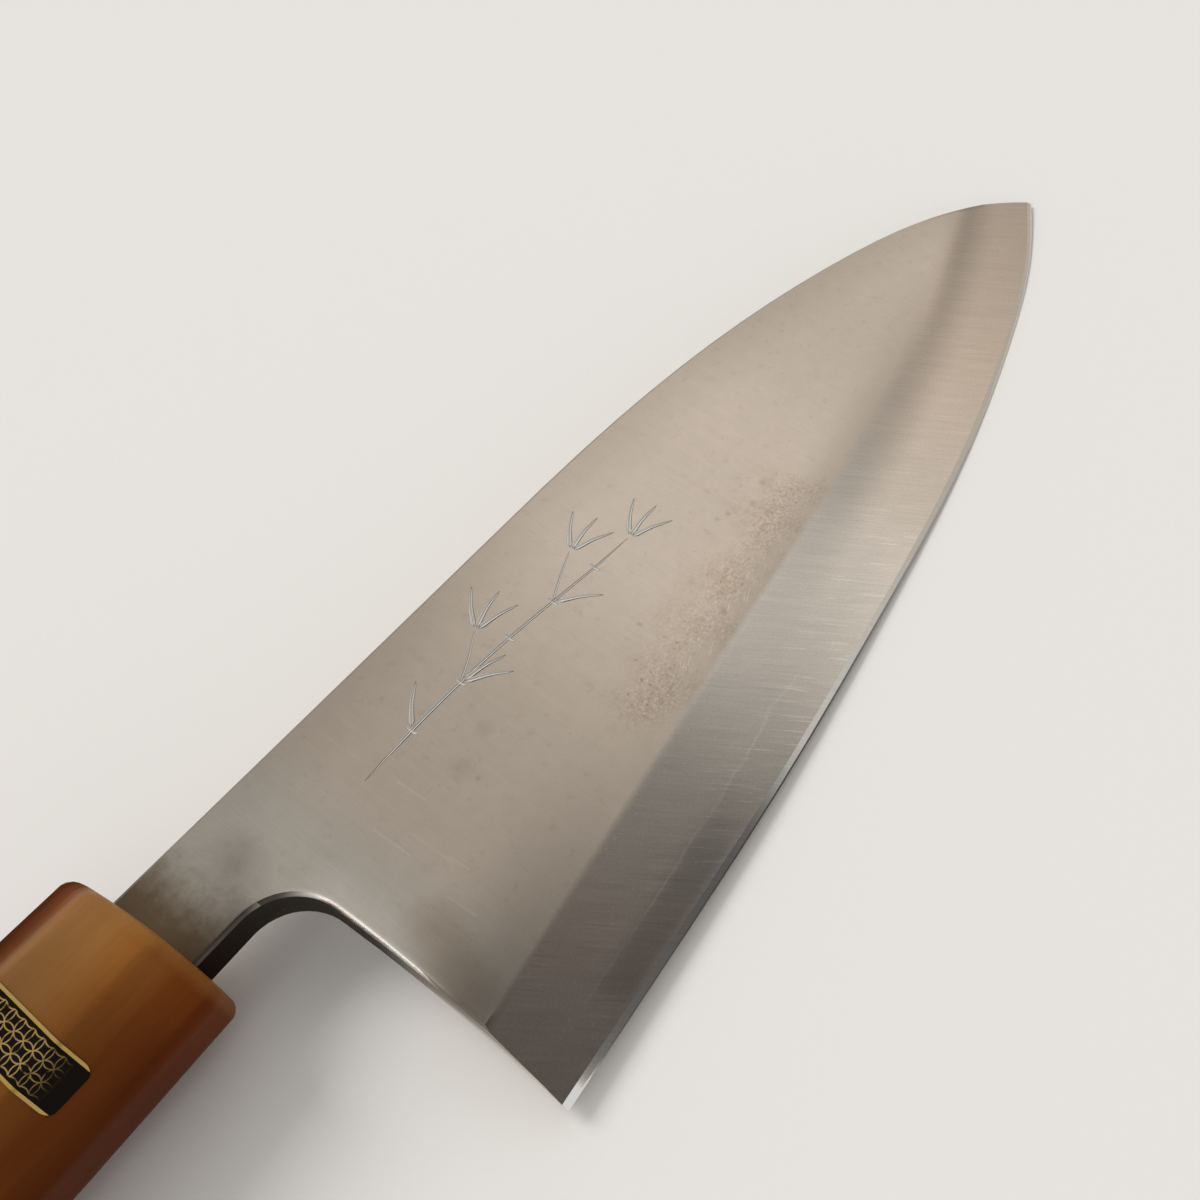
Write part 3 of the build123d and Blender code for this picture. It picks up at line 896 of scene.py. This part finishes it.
# Foil: its two long sides, half its flat facet, and how much longer the way down a bent facet is
BAND_EDGES = (-27.8, -33.7)
FLAT_HALF = 5.1
CHAMFER_STRETCH = 0.43

# Print on the foil: the gold border's width, and the lattice of the interlocking circles
BORDER = 0.36
LATTICE = 1.55
RING_WIDTH = 0.085
PATTERN_MARGIN = 0.7
PRINT_SHARE = 0.75
PRINT_FADE = (8.6, 4.5)
PRINT_WEAR = dict(detail=4.0, scale=0.9)
PRINT_WEAR_LIMITS = (0.3, 0.52)
FOIL_BLACK = (0.007, 0.005, 0.004, 1)
FOIL_GOLD = (0.62, 0.42, 0.12, 1)
GOLD_METAL = 0.9
FOIL_SPECK = dict(detail=2.0, scale=6.0)
FOIL_SPREAD = 0.2
FOIL_ROUGH = (0.2, 0.28)
FOIL_SPECULAR = 0.05
FOIL_BUMP = 0.006


def circle_lattice(nodes, along, arc):
    """Rings round centres on a square lattice, each as wide as the lattice's diagonal."""
    cell_x = nodes.math("PINGPONG", along, LATTICE / 2)
    cell_y = nodes.math("PINGPONG", arc, LATTICE / 2)
    here = nodes.join(cell_x, cell_y, 0.0)
    rings = []
    for centre in ((LATTICE, 0.0, 0.0), (0.0, LATTICE, 0.0)):
        reach = nodes.distance(here, centre)
        rings.append(nodes.size(nodes.minus(reach, LATTICE / math.sqrt(2))))
    return nodes.smooth(nodes.math("MINIMUM", *rings), (RING_WIDTH, 0.6 * RING_WIDTH))


def foil_material():
    """Black foil with a gold border along each long side and a gold lattice of interlocking circles."""
    material, nodes, shader = new_material("foil_black_gold")
    place = nodes.knife_place()
    x, y, _ = nodes.split(place)
    aside = nodes.size(nodes.minus(y, HANDLE_MIDDLE))
    arc = nodes.linear(nodes.most(nodes.minus(aside, FLAT_HALF), 0.0), CHAMFER_STRETCH, aside)
    along = nodes.size(nodes.minus(x, (BAND_EDGES[0] + BAND_EDGES[1]) / 2))
    half = (BAND_EDGES[0] - BAND_EDGES[1]) / 2
    inside = nodes.less(along, half - PATTERN_MARGIN)
    worn = nodes.smooth(nodes.noise(place, **PRINT_WEAR), PRINT_WEAR_LIMITS)
    fade = nodes.smooth(arc, PRINT_FADE)
    lattice = nodes.times(circle_lattice(nodes, along, arc), inside, worn, fade, PRINT_SHARE)
    gold = nodes.most(nodes.more(along, half - BORDER), lattice)
    speck = nodes.noise(place, **FOIL_SPECK)
    colour = nodes.grain(nodes.mix(gold, FOIL_BLACK, FOIL_GOLD), speck, FOIL_SPREAD)
    nodes.feed(shader.inputs["Base Color"], colour)
    shader.inputs["Specular IOR Level"].default_value = FOIL_SPECULAR
    nodes.feed(shader.inputs["Metallic"], nodes.times(gold, GOLD_METAL))
    nodes.feed(shader.inputs["Roughness"], nodes.linear(speck, *FOIL_ROUGH))
    nodes.feed(shader.inputs["Normal"], nodes.bump(speck, FOIL_BUMP))
    return material


# Wood: its growth rings run round an axis far under the handle, so the facets show straight grain
RING_AXIS = (20.0, -58.0)
RING_SPACING = 1.9
RING_DRIFT = dict(along=0.012, across=0.05, detail=2.0)
RING_SWAY = 6.0
LATE_WOOD = ((0.35, 0.92), (1.0, 0.93))
LATE_SHARE = 0.55
EARLY_COLOUR = (0.63, 0.49, 0.32, 1)
LATE_COLOUR = (0.47, 0.335, 0.195, 1)

# Fibres, broad tones and short pores
FIBRE = dict(along=0.09, across=3.2, detail=4.0)
FIBRE_SPREAD = 0.14
BROAD = dict(along=0.02, across=0.12, detail=3.0)
BROAD_SPREAD = 0.12
PORES = dict(along=0.35, across=5.5, detail=1.0)
PORE_LIMITS = (0.66, 0.74)
PORE_SHARE = 0.45
PORE_COLOUR = (0.33, 0.21, 0.11, 1)
PORE_RELIEF = -1.2
RELIEF = 0.03

# Darker end grain, wood darkened next to the ferrule, and handled edges between the facets
END_GRAIN_SPAN = (0.4, 0.8)
END_GRAIN_DEPTH = 0.22
JOINT_DARK_SPAN = (JOINT_PLACE - 6.0, JOINT_PLACE)
JOINT_DARK_DEPTH = 0.07
WEAR_RADIUS = 1.6
WEAR_COSINES = (0.996, 0.95)
WEAR_LIMITS = (0.25, 0.6)
WEAR_LEAST = 0.35
WEAR_COLOUR = (0.84, 0.77, 0.68, 1)
WEAR_POLISH = -0.15
WOOD_ROUGH = (0.2, 0.5)
WOOD_SPECULAR = 0.35


def edge_wear(nodes, radius):
    """One along the edges between faces, and nothing in the middle of a face."""
    return nodes.smooth(nodes.dot(nodes.rounded(radius * MM), nodes.true_normal()), WEAR_COSINES)


def late_wood(nodes, place):
    """Dark part of each growth ring."""
    _, y, z = nodes.split(place)
    off_axis = nodes.join(0.0, nodes.minus(y, RING_AXIS[0]), nodes.minus(z, RING_AXIS[1]))
    reach = nodes.vector("LENGTH", off_axis, output="Value")
    reach = nodes.linear(nodes.drawn_noise(place, **RING_DRIFT), RING_SWAY, reach)
    phase = nodes.math("FRACT", nodes.over(reach, RING_SPACING))
    return nodes.within(phase, *LATE_WOOD)


def wood_material():
    """Bare magnolia wood: fine straight grain on the facets, arcs on the butt, short pores."""
    material, nodes, shader = new_material("handle_magnolia")
    place = nodes.knife_place()
    fibre = nodes.drawn_noise(place, **FIBRE)
    broad = nodes.drawn_noise(place, **BROAD)
    pore = nodes.smooth(nodes.drawn_noise(place, **PORES), PORE_LIMITS)
    colour = nodes.mix(nodes.times(late_wood(nodes, place), LATE_SHARE), EARLY_COLOUR, LATE_COLOUR)
    colour = nodes.grain(colour, fibre, FIBRE_SPREAD)
    colour = nodes.grain(colour, broad, BROAD_SPREAD)
    colour = nodes.mix(nodes.times(pore, PORE_SHARE), colour, PORE_COLOUR)
    facing = nodes.size(nodes.split(nodes.knife_normal())[0])
    colour = nodes.dim(colour, nodes.smooth(facing, END_GRAIN_SPAN), END_GRAIN_DEPTH)
    colour = nodes.dim(colour, nodes.smooth(nodes.split(place)[0], JOINT_DARK_SPAN), JOINT_DARK_DEPTH)
    handled = nodes.times(edge_wear(nodes, WEAR_RADIUS), nodes.smooth(broad, WEAR_LIMITS, WEAR_LEAST, 1.0))
    nodes.feed(shader.inputs["Base Color"], nodes.tint(colour, handled, WEAR_COLOUR))
    shader.inputs["Specular IOR Level"].default_value = WOOD_SPECULAR
    rough = nodes.linear(fibre, *WOOD_ROUGH)
    nodes.feed(shader.inputs["Roughness"], nodes.linear(handled, WEAR_POLISH, rough))
    nodes.feed(shader.inputs["Normal"], nodes.bump(nodes.linear(pore, PORE_RELIEF, fibre), RELIEF))
    return material


# Sprig of bamboo cut into the upper face with a small chisel: places in the knife frame. Each leaf
# has its root and the angle that it points in, in degrees.
SPRIG_STEM = (
    (13.5, 42.3), (22.0, 42.5), (31.0, 42.3), (40.0, 41.7), (48.0, 40.8), (56.0, 39.8), (63.0, 39.2),
)
SPRIG_TWIGS = (((31.0, 42.3), (34.5, 43.9), (38.0, 46.0)), ((48.0, 40.8), (52.0, 42.6), (56.0, 44.2)))
LEAVES = (
    ((38.0, 46.0), 44), ((38.0, 46.0), 12), ((38.0, 46.0), -16), ((56.0, 44.2), 34), ((56.0, 44.2), 4),
    ((56.0, 44.2), -24), ((63.0, 39.2), 30), ((63.0, 39.2), 2), ((63.0, 39.2), -26), ((31.0, 42.3), -38),
    ((22.0, 42.5), 38), ((48.0, 40.8), -42), ((31.0, 42.3), -16),
)
LEAF_LENGTH = 6.4
LEAF_GAP = 0.7
LEAF_BEND = 0.25
JOINT_HALF = 0.9
JOINT_BEND = 0.2

# Each kind of cut: its half width, and how much of it is lost towards its end
STEM_CUT = (0.30, 0.45)
TWIG_CUT = (0.2, 0.4)
LEAF_CUT = (0.5, 0.75)
JOINT_CUT = (0.22, 0.2)

# Section of a cut, a shallow groove between two burrs: shares of the half width, and heights
CUT_HEIGHT = 0.05
CUT_SINK = 0.012
CUT_SECTION = (
    (-1.0, -CUT_SINK), (-0.6, CUT_HEIGHT), (0.0, 0.3 * CUT_HEIGHT), (0.6, CUT_HEIGHT), (1.0, -CUT_SINK),
)

# A cut is made in steps, looks this share ahead and back for its direction, and opens and closes
STROKE_STEPS = 14
LOOK_AHEAD = 0.02
OPENING = (6, 0.15)
CLOSING = (8, 0.1)


def face_height(x, y):
    """Height of the upper face in the knife frame."""
    return SPINE_THICKNESS - TAPER * x - FALL * (HEEL_HEIGHT - y)


def on_path(points, share):
    """Point of a smooth path at a share of its length."""
    reach = share * (len(points) - 1)
    index = min(int(reach), len(points) - 2)
    part = reach - index
    last = len(points) - 1
    ends = [points[max(index - 1, 0)], points[index], points[index + 1], points[min(index + 2, last)]]
    before, here, after, beyond = [Vector(point) for point in ends]
    spread = (after - before) * part + (2 * before - 5 * here + 4 * after - beyond) * part**2
    spread += (3 * here - before - 3 * after + beyond) * part**3
    return here + spread / 2


def stroke_width(share, taper_out):
    """Share of a cut's full width at a share of its length."""
    opening = min(1.0, OPENING[0] * share + OPENING[1])
    closing = min(1.0, CLOSING[0] * (1 - share) + CLOSING[1])
    return opening * (1 - taper_out * share) * closing


def add_stroke(corners, faces, points, half_width, taper_out):
    """Chisel cut along a path, narrowing towards its end."""
    first = len(corners)
    for step in range(STROKE_STEPS + 1):
        share = step / STROKE_STEPS
        centre = on_path(points, share)
        run = on_path(points, min(share + LOOK_AHEAD, 1.0)) - on_path(points, max(share - LOOK_AHEAD, 0.0))
        aside = Vector((-run.y, run.x)).normalized()
        narrow = stroke_width(share, taper_out)
        for offset, height in CUT_SECTION:
            x, y = centre + aside * offset * half_width * narrow
            corners.append(KNIFE @ Vector((x, y, face_height(x, y) + height * min(1.0, 2 * narrow))))
    count = len(CUT_SECTION)
    for step in range(STROKE_STEPS):
        for side in range(count - 1):
            low = first + step * count + side
            faces.append((low, low + count, low + count + 1, low + 1))


def leaf_path(root, angle):
    """Slightly bent path of a leaf."""
    turn = math.radians(angle)
    along = Vector((math.cos(turn), math.sin(turn)))
    aside = Vector((-along.y, along.x)) * LEAF_BEND
    start = Vector(root) + along * LEAF_GAP
    return start, start + along * LEAF_LENGTH / 2 + aside, start + along * LEAF_LENGTH


def sprig_strokes():
    """All cuts of the sprig: path, half width and how much each narrows."""
    strokes = [(SPRIG_STEM, *STEM_CUT)]
    for twig in SPRIG_TWIGS:
        strokes.append((twig, *TWIG_CUT))
    for x, y in SPRIG_STEM[1:-1]:
        joint = ((x + JOINT_BEND, y - JOINT_HALF), (x, y), (x + JOINT_BEND, y + JOINT_HALF))
        strokes.append((joint, *JOINT_CUT))
    for root, angle in LEAVES:
        strokes.append((leaf_path(root, angle), *LEAF_CUT))
    return strokes


# Metal of the cuts: bright, with painted shade at the foot and in the groove, and on the flanks that face
# the edge
CUT_METAL = (0.82, 0.78, 0.72, 1)
CUT_FOOT_SHADE = (0.16, 0.135, 0.115, 1)
FOOT_HEIGHTS = (0.6 * CUT_HEIGHT, 0.0)
FLANK_DIRECTION = (0.3, -0.95, 0.0)
FLANK_SPAN = (0.0, 0.3)
FLANK_SHADE_DEPTH = 0.62
CHATTER = dict(detail=2.0, scale=3.0)
CHATTER_SPREAD = 0.07
CHATTER_DEPTH = 0.001
CUT_ROUGH = (0.12, 0.2)


def sprig_material():
    """Cut metal: bright grooves with painted shade at the foot and on the flanks that face the edge, and
    fine chatter marks.
    """
    material, nodes, shader = new_material("chisel_cut_metal")
    place = nodes.knife_place()
    x, y, z = nodes.split(place)
    shaded_foot = nodes.smooth(nodes.minus(z, face_plane(nodes, x, y)), FOOT_HEIGHTS)
    chatter = nodes.noise(place, **CHATTER)
    shaded_flank = nodes.smooth(nodes.dot(nodes.knife_normal(), FLANK_DIRECTION), FLANK_SPAN)
    colour = nodes.dim(nodes.mix(shaded_foot, CUT_METAL, CUT_FOOT_SHADE), shaded_flank, FLANK_SHADE_DEPTH)
    nodes.feed(shader.inputs["Base Color"], nodes.grain(colour, chatter, CHATTER_SPREAD))
    shader.inputs["Metallic"].default_value = 1.0
    nodes.feed(shader.inputs["Roughness"], nodes.linear(chatter, *CUT_ROUGH))
    nodes.feed(shader.inputs["Normal"], nodes.bump(chatter, CHATTER_DEPTH))
    return material


def add_sprig():
    corners = []
    faces = []
    for points, half_width, taper_out in sprig_strokes():
        add_stroke(corners, faces, points, half_width, taper_out)
    mesh = bpy.data.meshes.new("engraved_sprig")
    mesh.from_pydata([tuple(corner) for corner in corners], [], faces)
    mesh.materials.append(sprig_material())
    sprig = bpy.data.objects.new("engraved_sprig", mesh)
    bpy.context.collection.objects.link(sprig)
    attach(sprig, "root")


def dress_knife():
    finishes = {
        "blade_iron": iron_material(),
        "blade_steel": steel_material(),
        "ferrule": ferrule_material(),
        "handle": wood_material(),
        "foil_band": foil_material(),
    }
    for name, material in finishes.items():
        for slot in frame["nodes"][name].material_slots:
            slot.material = material


def add_camera():
    data = bpy.data.cameras.new("camera")
    data.lens = CAMERA_LENS
    data.sensor_width = SENSOR
    data.clip_start = MM
    camera = bpy.data.objects.new("camera", data)
    bpy.context.collection.objects.link(camera)
    place = Vector(CAMERA_PLACE) * MM
    look = (Vector(CAMERA_AIM) * MM - place).to_track_quat("-Z", "Y").to_matrix().to_4x4()
    roll = Matrix.Rotation(math.radians(CAMERA_ROLL), 4, "Z")
    camera.matrix_world = Matrix.Translation(place) @ look @ roll
    bpy.context.scene.camera = camera


# Pale floor with a faint grain
FLOOR_REACH = 3000.0
FLOOR_GRAIN = dict(detail=3.0, scale=900.0)
FLOOR_GRAIN_SHARE = 0.12
FLOOR_PALE = (0.80, 0.785, 0.765, 1)
FLOOR_DARKER = (0.70, 0.685, 0.665, 1)
FLOOR_ROUGHNESS = 0.75


def add_floor():
    reach = FLOOR_REACH * MM
    mesh = bpy.data.meshes.new("floor")
    corners = [(-reach, -reach, 0), (reach, -reach, 0), (reach, reach, 0), (-reach, reach, 0)]
    mesh.from_pydata(corners, [], [(0, 1, 2, 3)])
    floor = bpy.data.objects.new("floor", mesh)
    bpy.context.collection.objects.link(floor)
    material, nodes, shader = new_material("floor_paint")
    grain = nodes.noise(nodes.add("ShaderNodeTexCoord", output="Object"), **FLOOR_GRAIN)
    colour = nodes.mix(nodes.times(grain, FLOOR_GRAIN_SHARE), FLOOR_PALE, FLOOR_DARKER)
    nodes.feed(shader.inputs["Base Color"], colour)
    shader.inputs["Roughness"].default_value = FLOOR_ROUGHNESS
    mesh.materials.append(material)


def direction(azimuth, elevation):
    """Unit vector for a direction in degrees: azimuth from +X to +Y, elevation over the floor."""
    level = math.cos(math.radians(elevation))
    turn = math.radians(azimuth)
    return Vector((level * math.cos(turn), level * math.sin(turn), math.sin(math.radians(elevation))))


# Studio: a pale surround with three soft fields, each with its direction, the angles from it at
# which it begins and is full, and its level: a dark screen that the bevel mirrors at the heel, a
# dimmer ceiling over the neck, and a low bright field on the side of the handle
SURROUND = 0.80
SURROUND_COLOUR = (1.0, 0.985, 0.96, 1)
FIELDS = (
    (direction(-76.0, 44.0), (36.0, 10.0), 0.10),
    (direction(75.0, 78.0), (34.0, 6.0), 0.56),
    (direction(164.0, 9.0), (26.0, 10.0), 2.2),
)

# Soft key lamp on the side of the spine, which the metal doesn't mirror
KEY_DIRECTION = direction(98.0, 42.0)
KEY_SPREAD = 25.8
KEY_STRENGTH = 1.62
KEY_COLOUR = (1.0, 0.97, 0.93)


def add_surround():
    world = bpy.data.worlds.new("studio")
    bpy.context.scene.world = world
    world.use_nodes = True
    nodes = Nodes(world.node_tree)
    background = world.node_tree.nodes["Background"]
    sky = nodes.vector("NORMALIZE", nodes.add("ShaderNodeTexCoord", output="Generated"))
    light = SURROUND
    for towards, angles, level in FIELDS:
        cosines = [math.cos(math.radians(angle)) for angle in angles]
        cone = nodes.smooth(nodes.dot(sky, towards), cosines)
        light = nodes.times(light, nodes.linear(cone, level - 1, 1.0))
    nodes.feed(background.inputs["Strength"], light)
    background.inputs["Color"].default_value = SURROUND_COLOUR


def add_key():
    lamp = bpy.data.lights.new("key", "SUN")
    lamp.energy = KEY_STRENGTH
    lamp.angle = math.radians(KEY_SPREAD)
    lamp.color = KEY_COLOUR
    key = bpy.data.objects.new("key", lamp)
    key.location = KEY_DIRECTION
    key.rotation_euler = (-KEY_DIRECTION).to_track_quat("-Z", "Y").to_euler()
    key.visible_glossy = False
    bpy.context.collection.objects.link(key)


add_camera()
add_floor()
add_surround()
add_key()
dress_knife()
add_sprig()
bpy.context.scene.view_settings.view_transform = "Standard"
